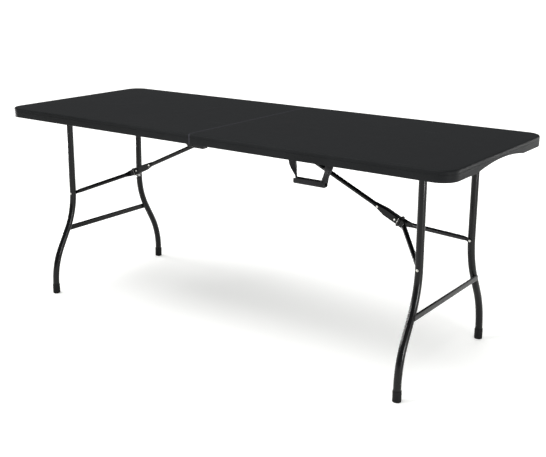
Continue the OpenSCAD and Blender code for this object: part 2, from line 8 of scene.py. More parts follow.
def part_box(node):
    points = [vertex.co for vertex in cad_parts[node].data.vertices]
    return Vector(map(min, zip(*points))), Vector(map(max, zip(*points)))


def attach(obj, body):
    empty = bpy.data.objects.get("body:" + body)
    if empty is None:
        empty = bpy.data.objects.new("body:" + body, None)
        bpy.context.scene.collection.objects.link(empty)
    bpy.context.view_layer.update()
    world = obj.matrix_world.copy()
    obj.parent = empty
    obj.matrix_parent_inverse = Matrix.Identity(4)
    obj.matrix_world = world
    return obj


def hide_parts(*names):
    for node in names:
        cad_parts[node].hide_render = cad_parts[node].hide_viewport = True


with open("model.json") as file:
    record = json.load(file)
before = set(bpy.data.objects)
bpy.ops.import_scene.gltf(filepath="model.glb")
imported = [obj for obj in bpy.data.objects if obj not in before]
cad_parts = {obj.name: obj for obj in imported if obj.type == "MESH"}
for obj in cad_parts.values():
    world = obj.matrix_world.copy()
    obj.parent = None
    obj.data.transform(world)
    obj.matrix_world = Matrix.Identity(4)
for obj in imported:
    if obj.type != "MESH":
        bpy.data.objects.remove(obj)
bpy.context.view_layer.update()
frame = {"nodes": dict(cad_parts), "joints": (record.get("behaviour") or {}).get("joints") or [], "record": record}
mm = 0.001
print("frame loaded,", len(frame["nodes"]), "nodes")


# Materials

def linear(hexColour):
    channels = [int(hexColour[i:i + 2], 16) / 255 for i in (1, 3, 5)]
    return [c / 12.92 if c < 0.04045 else ((c + 0.055) / 1.055) ** 2.4 for c in channels] + [1]


def addNode(material, kind, settings, links=None):
    # settings are inputs or properties; a stop is a position and a hex colour or plain value
    node = material.node_tree.nodes.new("ShaderNode" + kind)
    for key, value in settings.items():
        if key == "stops":
            for point, (position, colour) in zip(node.color_ramp.elements, value):
                point.position = position
                point.color = linear(colour) if isinstance(colour, str) else [colour] * 3 + [1]
        elif isinstance(key, int) or key in node.inputs:
            node.inputs[key].default_value = value
        else:
            setattr(node, key, value)
    for key, source in (links or {}).items():
        material.node_tree.links.new(source, node.inputs[key])
    return node


def perMetre(sizeMm):
    # how often a pattern of this size repeats in a metre
    return 1 / (sizeMm * mm)


def newMaterial(name, look):
    # a Principled shader with its even values set, and the place in the object's own metres
    material = bpy.data.materials.new(name)
    material.use_nodes = True
    shader = material.node_tree.nodes["Principled BSDF"]
    shader.inputs["Metallic"].default_value = look.get("metallic", 0)
    shader.inputs["IOR"].default_value = look.get("ior", 1.5)
    shader.inputs["Specular IOR Level"].default_value = look.get("gloss", 0.5)
    shader.inputs["Coat Weight"].default_value = look.get("coat", 0)
    shader.inputs["Coat Roughness"].default_value = look.get("coatRoughness", 0.1)
    place = addNode(material, "TexCoord", {}).outputs["Object"]
    return material, shader, place


def finish(material, shader, colour, roughness, normal):
    for socket, source in (("Base Color", colour), ("Roughness", roughness), ("Normal", normal)):
        material.node_tree.links.new(source, shader.inputs[socket])
    return material


# Blow-moulded HDPE, spark-textured mould: an even charcoal black that a pebbled skin keeps from shining.
# The real pebble is about 0.8 mm; it is drawn at 2.4 mm so that it shows.
hdpe = {"ior": 1.54, "gloss": 0.06, "dark": "#18191a", "light": "#1d1e1f", "smooth": 0.5, "rough": 0.6,
        "pebbleMm": 2.4, "pebbleHeight": 0.11, "cloudMm": 160, "wavesMm": 130, "wavesHeight": 0.35,
        # the lip colour is a painted highlight along the seam
        "scuff": "#303133", "scuffMm": 34, "scuffStretch": (0.25, 3.5, 1), "lip": "#3b3a40", "seamHighlightMm": 2.4}


def blowMouldedHdpe():
    material, shader, place = newMaterial("blow_moulded_hdpe", hdpe)
    clouds = addNode(material, "TexNoise", {"Scale": perMetre(hdpe["cloudMm"]), "Detail": 4},
                     {"Vector": place}).outputs["Fac"]
    colour = addNode(material, "ValToRGB", {"stops": [(0.35, hdpe["dark"]), (0.7, hdpe["light"])]},
                     {"Fac": clouds}).outputs["Color"]
    # faint scuffs along the length, where the table has been slid in and out
    stretched = addNode(material, "Mapping", {"Scale": hdpe["scuffStretch"]}, {"Vector": place}).outputs[0]
    streaks = addNode(material, "TexNoise", {"Scale": perMetre(hdpe["scuffMm"]), "Detail": 6},
                      {"Vector": stretched}).outputs["Fac"]
    scuffs = addNode(material, "ValToRGB", {"stops": [(0.66, 0.0), (0.78, 0.5)]},
                     {"Fac": streaks}).outputs["Color"]
    colour = addNode(material, "Mix", {"data_type": "RGBA", 7: linear(hdpe["scuff"])},
                     {0: scuffs, 6: colour}).outputs[2]
    # a painted highlight: a paler purplish band right beside the seam, standing in for light caught by the seam's
    # small rounded edges
    axes = addNode(material, "SeparateXYZ", {}, {"Vector": place})
    fromSeam = addNode(material, "Math", {"operation": "ABSOLUTE"}, {0: axes.outputs["X"]}).outputs[0]
    onSeamHighlight = addNode(material, "Math", {"operation": "LESS_THAN", 1: hdpe["seamHighlightMm"] * mm},
                    {0: fromSeam}).outputs[0]
    colour = addNode(material, "Mix", {"data_type": "RGBA", 7: linear(hdpe["lip"])},
                     {0: onSeamHighlight, 6: colour}).outputs[2]
    roughness = addNode(material, "ValToRGB", {"stops": [(0.3, hdpe["smooth"]), (0.75, hdpe["rough"])]},
                        {"Fac": clouds}).outputs["Color"]
    # slow waves where the skin sank as it cooled, and the pebble over them
    waves = addNode(material, "TexNoise", {"Scale": perMetre(hdpe["wavesMm"]), "Detail": 1},
                    {"Vector": place}).outputs["Fac"]
    pebble = addNode(material, "TexVoronoi", {"feature": "SMOOTH_F1", "Smoothness": 0.6,
                                              "Scale": perMetre(hdpe["pebbleMm"])},
                     {"Vector": place}).outputs["Distance"]
    waved = addNode(material, "Bump", {"Strength": 1, "Distance": hdpe["wavesHeight"] * mm},
                    {"Height": waves}).outputs["Normal"]
    normal = addNode(material, "Bump", {"Strength": 1, "Distance": hdpe["pebbleHeight"] * mm},
                     {"Height": pebble, "Normal": waved}).outputs["Normal"]
    return finish(material, shader, colour, roughness, normal)


# Black polyester powder coat, sprayed and baked: deep black with a soft gloss that orange peel breaks up.
# The peel is about 1.5 mm on the real tubes; it is drawn at 3 mm.
powder = {"ior": 1.5, "gloss": 0.1, "coat": 0.25, "coatRoughness": 0.1, "dark": "#080809", "light": "#0d0d0e",
          "smooth": 0.24, "rough": 0.36, "dust": "#262627", "peelMm": 3.0, "peelHeight": 0.05, "cloudMm": 45,
          "speckMm": 1.6}


def powderCoatedSteel():
    material, shader, place = newMaterial("powder_coated_steel", powder)
    clouds = addNode(material, "TexNoise", {"Scale": perMetre(powder["cloudMm"]), "Detail": 4},
                     {"Vector": place}).outputs["Fac"]
    colour = addNode(material, "ValToRGB", {"stops": [(0.35, powder["dark"]), (0.7, powder["light"])]},
                     {"Fac": clouds}).outputs["Color"]
    grit = addNode(material, "TexNoise", {"Scale": perMetre(powder["speckMm"]), "Detail": 2},
                   {"Vector": place}).outputs["Fac"]
    specks = addNode(material, "ValToRGB", {"stops": [(0.72, 0.0), (0.76, 0.6)]},
                     {"Fac": grit}).outputs["Color"]
    colour = addNode(material, "Mix", {"data_type": "RGBA", 7: linear(powder["dust"])},
                     {0: specks, 6: colour}).outputs[2]
    roughness = addNode(material, "ValToRGB", {"stops": [(0.3, powder["smooth"]), (0.75, powder["rough"])]},
                        {"Fac": clouds}).outputs["Color"]
    peel = addNode(material, "TexNoise", {"Scale": perMetre(powder["peelMm"]), "Detail": 3},
                   {"Vector": place}).outputs["Fac"]
    normal = addNode(material, "Bump", {"Strength": 1, "Distance": powder["peelHeight"] * mm},
                     {"Height": peel}).outputs["Normal"]
    return finish(material, shader, colour, roughness, normal)


# Zinc-plated steel, barrel-plated and passivated: bright cool grey with a slightly clouded, rubbed face.
# The rubbing marks are a few tenths of a millimetre wide; they are drawn at 1.2 mm.
zinc = {"metallic": 1, "light": "#e2e1dc", "dark": "#a9a8a2", "smooth": 0.22, "rough": 0.42, "cloudMm": 5,
        "scratchMm": 1.2, "scratchStretch": (1, 6, 1), "scratchHeight": 0.02}


def zincPlatedSteel():
    material, shader, place = newMaterial("zinc_plated_steel", zinc)
    clouds = addNode(material, "TexNoise", {"Scale": perMetre(zinc["cloudMm"]), "Detail": 4},
                     {"Vector": place}).outputs["Fac"]
    colour = addNode(material, "ValToRGB", {"stops": [(0.3, zinc["dark"]), (0.65, zinc["light"])]},
                     {"Fac": clouds}).outputs["Color"]
    stretched = addNode(material, "Mapping", {"Scale": zinc["scratchStretch"]}, {"Vector": place}).outputs[0]
    scratches = addNode(material, "TexNoise", {"Scale": perMetre(zinc["scratchMm"]), "Detail": 4},
                        {"Vector": stretched}).outputs["Fac"]
    roughness = addNode(material, "ValToRGB", {"stops": [(0.3, zinc["smooth"]), (0.7, zinc["rough"])]},
                        {"Fac": scratches}).outputs["Color"]
    normal = addNode(material, "Bump", {"Strength": 1, "Distance": zinc["scratchHeight"] * mm},
                     {"Height": scratches}).outputs["Normal"]
    return finish(material, shader, colour, roughness, normal)


# Injection-moulded LDPE, for foot caps and tube plugs: a soft dull black, rubbed greyer in patches.
# The mould's grain is about 0.5 mm; it is drawn at 1.8 mm.
ldpe = {"ior": 1.51, "gloss": 0.14, "dark": "#0e0e0f", "light": "#181819", "smooth": 0.5, "rough": 0.68,
        "grainMm": 1.8, "grainHeight": 0.04, "rubMm": 12}


def mouldedLdpe():
    material, shader, place = newMaterial("moulded_ldpe", ldpe)
    rubbed = addNode(material, "TexNoise", {"Scale": perMetre(ldpe["rubMm"]), "Detail": 5},
                     {"Vector": place}).outputs["Fac"]
    colour = addNode(material, "ValToRGB", {"stops": [(0.4, ldpe["dark"]), (0.75, ldpe["light"])]},
                     {"Fac": rubbed}).outputs["Color"]
    roughness = addNode(material, "ValToRGB", {"stops": [(0.3, ldpe["smooth"]), (0.7, ldpe["rough"])]},
                        {"Fac": rubbed}).outputs["Color"]
    grain = addNode(material, "TexNoise", {"Scale": perMetre(ldpe["grainMm"]), "Detail": 3},
                    {"Vector": place}).outputs["Fac"]
    normal = addNode(material, "Bump", {"Strength": 1, "Distance": ldpe["grainHeight"] * mm},
                     {"Height": grain}).outputs["Normal"]
    return finish(material, shader, colour, roughness, normal)


# Injection-moulded polypropylene, for the carry handle: satin black with a fine leathery mould grain.
# The grain is about 0.7 mm; it is drawn at 1.6 mm.
polypropylene = {"ior": 1.49, "gloss": 0.18, "dark": "#101012", "light": "#18181b", "smooth": 0.36,
                 "rough": 0.46, "grainMm": 1.6, "grainHeight": 0.05, "cloudMm": 30}


def mouldedPolypropylene():
    material, shader, place = newMaterial("moulded_polypropylene", polypropylene)
    clouds = addNode(material, "TexNoise", {"Scale": perMetre(polypropylene["cloudMm"]), "Detail": 3},
                     {"Vector": place}).outputs["Fac"]
    colour = addNode(material, "ValToRGB",
                     {"stops": [(0.35, polypropylene["dark"]), (0.7, polypropylene["light"])]},
                     {"Fac": clouds}).outputs["Color"]
    roughness = addNode(material, "ValToRGB",
                        {"stops": [(0.3, polypropylene["smooth"]), (0.7, polypropylene["rough"])]},
                        {"Fac": clouds}).outputs["Color"]
    grain = addNode(material, "TexVoronoi", {"feature": "F1", "Scale": perMetre(polypropylene["grainMm"])},
                    {"Vector": place}).outputs["Distance"]
    normal = addNode(material, "Bump", {"Strength": 1, "Distance": polypropylene["grainHeight"] * mm},
                     {"Height": grain}).outputs["Normal"]
    return finish(material, shader, colour, roughness, normal)


finishes = {"moulded_top": blowMouldedHdpe(), "coated_steel": powderCoatedSteel(),
            "zinc_steel": zincPlatedSteel(), "cap_plastic": mouldedLdpe(),
            "handle_plastic": mouldedPolypropylene()}
print("materials made")


# Shape helpers

def loft(rings, caps=True, cyclic=False):
    # skin over rings of equal count; with cyclic the last ring joins the first
    count = len(rings[0])
    verts = [point for ring in rings for point in ring]
    faces = []
    for r in range(len(rings) if cyclic else len(rings) - 1):
        a, b = r * count, (r + 1) % len(rings) * count
        for i in range(count):
            j = (i + 1) % count
            faces.append((a + i, a + j, b + j, b + i))
    if caps and not cyclic:
        faces.append(tuple(reversed(range(count))))
        faces.append(tuple(range(len(verts) - count, len(verts))))
    return verts, faces


def joined(*shapes):
    verts, faces = [], []
    for shapeVerts, shapeFaces in shapes:
        start = len(verts)
        verts += shapeVerts
        faces += [tuple(start + i for i in face) for face in shapeFaces]
    return verts, faces


def moved(shape, matrix):
    return [matrix @ Vector(point) for point in shape[0]], shape[1]


def mirrored(shape, axis):
    # the same shape on the other side of the plane through the origin
    verts = []
    for point in shape[0]:
        other = Vector(point)
        other[axis] = -other[axis]
        verts.append(other)
    return verts, [tuple(reversed(face)) for face in shape[1]]


def bothSides(shape):
    return joined(shape, mirrored(shape, 1))


def circle(radius, sides):
    return [(radius * cos(2 * pi * i / sides), radius * sin(2 * pi * i / sides)) for i in range(sides)]


def roundedRect(width, height, radius, perCorner=6):
    radius = min(radius, width / 2 - 1e-7, height / 2 - 1e-7)
    points = []
    for corner, (sx, sy) in enumerate(((1, 1), (-1, 1), (-1, -1), (1, -1))):
        for i in range(perCorner):
            angle = (corner + i / (perCorner - 1)) * pi / 2
            points.append((sx * (width / 2 - radius) + radius * cos(angle),
                           sy * (height / 2 - radius) + radius * sin(angle)))
    return points


def sweep(path, outline, across, closed=False):
    # outline's first axis follows `across`, which is square to the path's plane
    across = Vector(across).normalized()
    path = [Vector(point) for point in path]
    rings = []
    for i, point in enumerate(path):
        before = path[i - 1] if closed or i else path[0]
        after = path[(i + 1) % len(path)] if closed or i < len(path) - 1 else path[-1]
        along = (after - before).normalized()
        up = along.cross(across)
        section = outline(i) if callable(outline) else outline
        rings.append([point + across * u + up * v for u, v in section])
    return loft(rings, cyclic=closed)


def turned(profile, sides=32):
    # profile is (height, radius) from one end to the other, about +Z
    return loft([[Vector((x, y, height)) for x, y in circle(radius, sides)] for height, radius in profile])


def frameAt(origin, xAxis, yAxis):
    xAxis, yAxis = Vector(xAxis).normalized(), Vector(yAxis).normalized()
    matrix = Matrix((xAxis, yAxis, xAxis.cross(yAxis))).transposed().to_4x4()
    return Matrix.Translation(origin) @ matrix


def along(point, direction):
    # frame whose +Z is the direction
    return Matrix.Translation(point) @ Vector(direction).to_track_quat("Z", "Y").to_matrix().to_4x4()


def addPiece(name, shape, body, slot, stands=(), crease=40):
    mesh = bpy.data.meshes.new(name)
    mesh.from_pydata([tuple(point) for point in shape[0]], [], shape[1])
    mesh.validate()
    mesh.shade_smooth()
    mesh.set_sharp_from_angle(angle=radians(crease))
    mesh.materials.append(finishes[slot])
    piece = bpy.data.objects.new(name, mesh)
    bpy.context.scene.collection.objects.link(piece)
    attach(piece, body)
    if stands:
        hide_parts(*stands)
    return piece


def addPair(name, shape, body, slot, stands=(), crease=40):
    # the right-hand piece and its mirror image on the left
    for hand in ("right", "left"):
        made = shape if hand == "right" else mirrored(shape, 0)
        addPiece(hand + "_" + name, made, hand + "_" + body, slot, [hand + "_" + s for s in stands], crease)


def addFour(name, shape, body, slot, stands):
    # the right rear piece and its three mirror images
    for hand in ("right", "left"):
        for side in ("front", "rear"):
            made = shape if side == "rear" else mirrored(shape, 1)
            made = made if hand == "right" else mirrored(made, 0)
            addPiece(f"{hand}_{side}_{name}", made, f"{hand}_{body}", slot, [f"{hand}_{side}_{stands}"])


def jointAt(name):
    return Vector(next(j for j in frame["joints"] if j["name"] == name)["pos_m"])


# Moulded top

topLow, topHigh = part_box("right_top")
top = {"corner": 56 * mm, "edge": 6 * mm, "seamEdge": 0.9 * mm, "wall": 5 * mm, "deck": 10 * mm,
       "fillet": 3 * mm, "lip": 1.8 * mm, "archWidth": 340 * mm, "archRise": 15 * mm,
       "partingDrop": 12 * mm, "partingDepth": 0.5 * mm, "partingHeight": 1.4 * mm,
       "dimple": 34 * mm, "dimpleDepth": 3 * mm, "pitch": 84 * mm,
       "grooveWidth": 26 * mm, "grooveDepth": 5 * mm, "pocketDepth": 3 * mm, "draft": 1.6 * mm}


def dimpleCentres():
    strutX, pivotX = jointAt("right_strut_swing").x, jointAt("right_leg_fold").x
    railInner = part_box("right_rear_rail")[0].y
    rows = int((railInner - top["grooveWidth"]) / top["pitch"])
    cols = int((pivotX - strutX - top["pitch"]) / top["pitch"])
    xs = [strutX + (i + 1.2) * top["pitch"] for i in range(cols)]
    ys = [top["grooveWidth"] + (j + 0.5) * top["pitch"] for j in range(rows)]
    return xs, ys


def cornerAngle(u, v):
    # where a point of the square corner grid goes on the quarter circle
    return v / u * pi / 4 if u > v else pi / 2 - u / v * pi / 4


def slope(distance):
    # 0 outside a moulded hollow, 1 on its floor, with a drafted wall between
    share = min(max(distance / top["draft"], 0), 1)
    return share * share * (3 - 2 * share)


def topShell():
    half, wide, seam = topHigh.x, topHigh.y, topLow.x
    inset = top["wall"] + top["fillet"]
    deckZ = topHigh.z - top["deck"]
    dimpleXs, dimpleYs = dimpleCentres()
    strutX = jointAt("right_strut_swing").x
    grooveEnd = seam + top["wall"] + (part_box("right_knee_channel")[1] - jointAt("right_strut_swing")).length
    footLow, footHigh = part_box("right_rear_foot")
    pocketX = (strutX - 4 * mm, strutX + footHigh.z + 16 * mm)
    pocketY = (footLow.y - 2 * mm, footHigh.y + 2 * mm)

    def underside(x, y):
        depth = top["grooveDepth"] * slope(top["grooveWidth"] / 2 - abs(y)) * slope(grooveEnd - x)
        pocket = min(x - pocketX[0], pocketX[1] - x, abs(y) - pocketY[0], pocketY[1] - abs(y))
        depth = max(depth, top["pocketDepth"] * slope(pocket))
        nearX = min(dimpleXs, key=lambda c: abs(c - x))
        nearY = min(dimpleYs, key=lambda c: abs(c - abs(y)))
        dish = top["dimple"] / 2 - hypot(x - nearX, abs(y) - nearY)
        share = min(max(dish / top["dimpleDepth"], 0), 1)
        return deckZ + max(depth, top["dimpleDepth"] * share)

    def lines(low, high, features, gap=28 * mm):
        # grid lines at the features, with long gaps between them filled in
        kept = sorted(f for f in features if low + 0.4 * mm < f < high - 0.4 * mm)
        found = [low]
        for f in kept + [high]:
            if f - found[-1] < 0.5 * mm and f != high:
                continue
            steps = ceil((f - found[-1]) / gap)
            found += [found[-1] + (f - found[-1]) * k / steps for k in range(1, steps + 1)]
        return found

    ring = [top["dimple"] / 2 * k / 7 for k in range(-7, 8)]
    cornerSteps = [top["corner"] - (top["corner"] - inset) * k / 8 for k in range(9)]
    xs = [c + d for c in dimpleXs for d in ring] + [half - c for c in cornerSteps]
    for edge in (pocketX[0], pocketX[1] - top["draft"], grooveEnd - top["draft"]):
        xs += [edge, edge + top["draft"] / 2, edge + top["draft"]]
    positive = [c + d for c in dimpleYs for d in ring] + [wide - c for c in cornerSteps]
    for edge in (pocketY[0], pocketY[1] - top["draft"], top["grooveWidth"] / 2 - top["draft"]):
        positive += [edge, edge + top["draft"] / 2, edge + top["draft"]]
    positive += [top["archWidth"] / 2 + d * mm for d in (-8, -3, 0, 3)]
    xs = lines(seam + inset, half - inset, xs)
    positive = lines(0, wide - inset, positive, 14 * mm)
    ys = [-y for y in reversed(positive[1:])] + positive

    # the underside is a grid whose outer corners are drawn in to quarter circles
    cornerX, cornerY = half - top["corner"], wide - top["corner"]
    reach = top["corner"] - inset

    def intoCorner(x, y):
        u, v = (x - cornerX) / reach, (abs(y) - cornerY) / reach
        if u <= 0 or v <= 0:
            return x, y
        angle = cornerAngle(u, v)
        radius = max(u, v) * reach
        side = 1 if y > 0 else -1
        return cornerX + radius * cos(angle), side * (cornerY + radius * sin(angle))

    verts, faces = [], []
    columns, rows = len(xs), len(ys)
    for y in ys:
        for x in xs:
            px, py = intoCorner(x, y)
            verts.append((px, py, underside(px, py)))
    for j in range(rows - 1):
        for i in range(columns - 1):
            a = j * columns + i
            faces.append((a, a + columns, a + columns + 1, a + 1))

    # rim: every grid point on the border is carried out over the wall to the top face
    border = list(range(columns))
    border += [j * columns + columns - 1 for j in range(1, rows)]
    border += [(rows - 1) * columns + i for i in range(columns - 2, -1, -1)]
    border += [j * columns for j in range(rows - 2, 0, -1)]

    def rimPoint(index, inward, z, seamInward, seamZ, lift):
        gx, gy = xs[index % columns], ys[index // columns]
        side = 1 if gy > 0 else -1
        onSeam, onEnd, onSide = gx == xs[0], gx == xs[-1], abs(gy) == ys[-1]
        u, v = (gx - cornerX) / reach, (abs(gy) - cornerY) / reach
        if u > 0 and v > 0:
            angle = cornerAngle(u, v)
            radius = top["corner"] - inward
            return cornerX + radius * cos(angle), side * (cornerY + radius * sin(angle)), z
        if onSide:
            x = seam + seamInward if onSeam else gx
            return x, side * (wide - inward), z
        if onEnd:
            return half - inward, gy, z + lift * archLift(gy)
        return seam + seamInward, gy, seamZ

    archRadius = ((top["archWidth"] / 2) ** 2 + top["archRise"] ** 2) / (2 * top["archRise"])

    def archLift(y):
        if abs(y) >= top["archWidth"] / 2:
            return 0
        return top["archRise"] - archRadius + sqrt(archRadius ** 2 - y * y)

    low, high, lip, edge, seamEdge = topLow.z, topHigh.z, top["lip"], top["edge"], top["seamEdge"]
    wall, fillet = top["wall"], top["fillet"]
    loops = []
    for k in (2, 1):
        turn = k * pi / 6
        part = (fillet * (1 - sin(turn)), fillet * (1 - cos(turn)))
        loops.append((wall + part[1], deckZ - part[0], wall + part[1], deckZ - part[0], 0))
    loops.append((wall, deckZ - fillet, wall, deckZ - fillet, 0))
    for k in range(4):
        turn = k * pi / 6
        inward, z = wall - lip * 0.6 * (1 - cos(turn)), low + lip * (1 - sin(turn))
        loops.append((inward, z, inward, z, 1))
    for k in range(4):
        turn = k * pi / 6
        inward, z = lip * (1 - sin(turn)), low + lip * (1 - cos(turn))
        loops.append((inward, z, inward * 0.4, z, 1))
    parting = high - top["partingDrop"]
    for drop, depth in ((1, 0), (0.72, 1), (0.28, 1), (0, 0)):
        z, inward = parting - drop * top["partingHeight"], depth * top["partingDepth"]
        loops.append((inward, z, 0, z, 0))
    for k in range(7):
        turn = k * pi / 12
        inward, z = edge * (1 - cos(turn)), high - edge * (1 - sin(turn))
        loops.append((inward, z, seamEdge * (1 - cos(turn)), high - seamEdge * (1 - sin(turn)), 0))
    loops.append((edge + 4 * mm, high, seamEdge + 4 * mm, high, 0))
    last = border
    for loop in loops:
        start = len(verts)
        verts += [rimPoint(index, *loop) for index in border]
        ringIndexes = list(range(start, len(verts)))
        for i in range(len(border)):
            j = (i + 1) % len(border)
            faces.append((last[i], last[j], ringIndexes[j], ringIndexes[i]))
        last = ringIndexes
    faces.append(tuple(last))
    return verts, faces


addPair("top_shell", topShell(), "half", "moulded_top", ["top"], crease=50)
print("top made")


# Side rails with their screws, saddles and plugs

rails = {"wall": 1.5 * mm, "screwHead": 4.6 * mm, "headRise": 2.4 * mm, "recess": 1.3 * mm,
         "crossWide": 0.12, "crossLong": 0.55,  # shares of the head's radius
         "saddleRound": 3 * mm}


def hollowTube(start, end, radius, wall, sides=40, bevel=0.4 * mm):
    # open tube with broken edges, drawn from start to end
    direction = Vector(end) - Vector(start)
    length = direction.length
    inner = radius - wall
    profile = [(0, inner), (0, radius - bevel), (bevel, radius), (length - bevel, radius),
               (length, radius - bevel), (length, inner)]
    rings = [[Vector((x, y, z)) for x, y in circle(r, sides)] for z, r in profile]
    return moved(loft(rings, cyclic=True), along(start, direction))


def railTube():
    low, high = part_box("right_rear_rail")
    middle = (low + high) / 2
    return hollowTube((low.x, middle.y, middle.z), (high.x, middle.y, middle.z), (high.z - low.z) / 2,
                      rails["wall"])


addFour("rail_tube", railTube(), "half", "coated_steel", "rail")


def placesAlongX(name, gap):
    # the lowest and highest x of each solid in a node whose solids stand at least a gap apart
    xs = sorted({round(v.co.x, 4) for v in frame["nodes"][name].data.vertices})
    places = [[xs[0], xs[0]]]
    for x in xs[1:]:
        if x - places[-1][1] > gap:
            places.append([x, x])
        else:
            places[-1][1] = x
    return places


def railScrews():
    # pan heads under the rail with a cross recess
    low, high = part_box("right_rear_rail")
    middle = (low + high) / 2
    centres = [(x0 + x1) / 2 for x0, x1 in placesAlongX("right_rail_screws", 12 * mm)]
    sides, radius, rise = 48, rails["screwHead"], rails["headRise"]

    def headHeight(share, angle):
        height = rise * sqrt(max(0, 1 - (0.93 * share) ** 2))
        x, y = abs(share * cos(angle)), abs(share * sin(angle))
        inCross = min(x, y) < rails["crossWide"] and max(x, y) < rails["crossLong"]
        return height - (rails["recess"] if inCross else 0)

    shapes = []
    for x in centres:
        rings = []
        for share in (1, 0.97, 0.85, 0.7, 0.57, 0.53, 0.4, 0.28, 0.16, 0.04):
            ring = []
            for k in range(sides):
                angle = 2 * pi * k / sides
                depth = 0.25 * rise if share == 1 else headHeight(share, angle)
                ring.append(Vector((x + share * radius * cos(angle), middle.y + share * radius * sin(angle),
                                    low.z - depth)))
            rings.append(list(reversed(ring)))
        base = [Vector((p.x, p.y, low.z + 0.3 * mm)) for p in rings[0]]
        shapes.append(loft([base] + rings))
    return bothSides(joined(*shapes))


addPair("rail_screw_heads", railScrews(), "half", "zinc_steel", ["rail_screws"], crease=30)


def railSaddles():
    # moulded blocks between rail and deck, with rounded flanks
    low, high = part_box("right_rear_rail")
    middle = (low + high) / 2
    deckZ = topHigh.z - top["deck"]
    shapes = []
    for x0, x1 in placesAlongX("right_rail_saddles", 40 * mm):
        outline = roundedRect(x1 - x0, high.y - low.y, rails["saddleRound"])
        rings = []
        for z, grow in ((high.z - 4.6 * mm, -0.6 * mm), (high.z - 4 * mm, 0), (deckZ - 1 * mm, 0),
                        (deckZ - 0.1 * mm, 0)):
            share = 1 + grow / (12 * mm)
            rings.append([Vector(((x0 + x1) / 2 + u * share, middle.y + v * share, z)) for u, v in outline])
        shapes.append(loft(rings))
    return bothSides(joined(*shapes))


addPair("rail_saddle_blocks", railSaddles(), "half", "moulded_top", ["rail_saddles"])


def railCaps():
    # plugs with a rounded shoulder and a dished face
    low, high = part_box("right_rear_rail")
    middle = (low + high) / 2
    radius = (high.z - low.z) / 2
    profile = [(-12 * mm, radius - 2 * mm), (0, radius - 1.7 * mm), (0.1 * mm, radius), (2 * mm, radius),
               (2.8 * mm, radius - 0.8 * mm), (3 * mm, radius - 2 * mm), (2.4 * mm, radius - 4 * mm),
               (2.4 * mm, 0.2 * mm)]
    return bothSides(moved(turned(profile, 40), along((high.x, middle.y, middle.z), (1, 0, 0))))


addPair("rail_end_caps", railCaps(), "half", "cap_plastic", ["rail_plugs"])
print("rails made")


# Leg frames

legs = {"tube": 12.5 * mm, "wall": 1.5 * mm, "bendTop": 399 * mm, "bendFoot": 42.6 * mm,
        "bendRadius": 300 * mm, "topY": 188.3 * mm, "bead": 1.7 * mm, "barHeight": 21.5 * mm,
        "barThick": 8 * mm, "barZ": 250 * mm, "barOut": 10 * mm, "capWall": 1.7 * mm, "capHeight": 38 * mm}
pivot = jointAt("right_leg_fold")
footPlace = Vector(next(m for m in frame["record"]["mounts"] if m["name"] == "floor_face")["pos_m"])
legDown = Vector((footPlace.x - pivot.x, 0, -pivot.z)).normalized()
legLength = hypot(footPlace.x - pivot.x, pivot.z)
legFrame = frameAt(pivot, (-legDown.z, 0, legDown.x), (0, 1, 0))  # -Z runs down the leg
footY = abs(footPlace.y)


def legPath():
    # upright, bend out, slant, bend back, upright
    cosine = -legDown.z
    start, stop = legLength - legs["bendTop"] / cosine, legLength - legs["bendFoot"] / cosine
    out, fall, radius = footY - legs["topY"], stop - start, legs["bendRadius"]
    slant = sqrt((2 * radius - out) ** 2 + fall ** 2 - 4 * radius ** 2)
    angle = atan2(fall, 2 * radius - out) - atan2(slant, 2 * radius)
    upper, lower, steps = [], [], 16
    for k in range(steps + 1):
        turn = angle * k / steps
        upper.append((legs["topY"] + radius * (1 - cos(turn)), start + radius * sin(turn)))
        lower.append((footY - radius * (1 - cos(turn)), stop - radius * sin(turn)))
    flat = [(legs["topY"], 0), (legs["topY"], start * 0.5)] + upper + list(reversed(lower))
    flat.append((footY, legLength - 6 * mm))
    return [Vector((0, y, -s)) for y, s in flat]


def placeOnLeg(s):
    # (y, slant direction) of the leg's axis at s down from the pivot
    path = legPath()
    for a, b in zip(path, path[1:]):
        if -b.z >= s:
            share = (s + a.z) / (a.z - b.z)
            return a.y + (b.y - a.y) * share, (b - a).normalized()
    return footY, Vector((0, 0, -1))


def weldBead(points, outward, radius, waves):
    # rippled bead along a closed line; outward gives the direction away from the tube at each point
    rings = []
    count = len(points)
    for i, point in enumerate(points):
        heading = (points[(i + 1) % count] - points[i - 1]).normalized()
        normal = outward[i] - heading * outward[i].dot(heading)
        normal.normalize()
        side = heading.cross(normal)
        size = radius * (1 + 0.16 * sin(2 * pi * waves * i / count))
        rings.append([point + normal * (size * 0.42 * u) + side * (size * v) for u, v in circle(1, 8)])
    return loft(rings, cyclic=True)


def legTube():
    return moved(sweep(legPath(), circle(legs["tube"], 40), (1, 0, 0)), legFrame)


def pivotBead():
    # weld where the leg meets the pivot tube
    points, outward = [], []
    count, r = 96, legs["tube"]
    for i in range(count):
        angle = 2 * pi * i / count
        x, y = r * cos(angle), r * sin(angle)
        points.append(Vector((x, legs["topY"] + y, -sqrt(max(r * r - x * x, 0)) - 0.2 * mm)))
        outward.append(Vector((cos(angle), sin(angle), -0.6 * abs(sin(angle)))))
    return moved(weldBead(points, outward, legs["bead"], 21), legFrame)


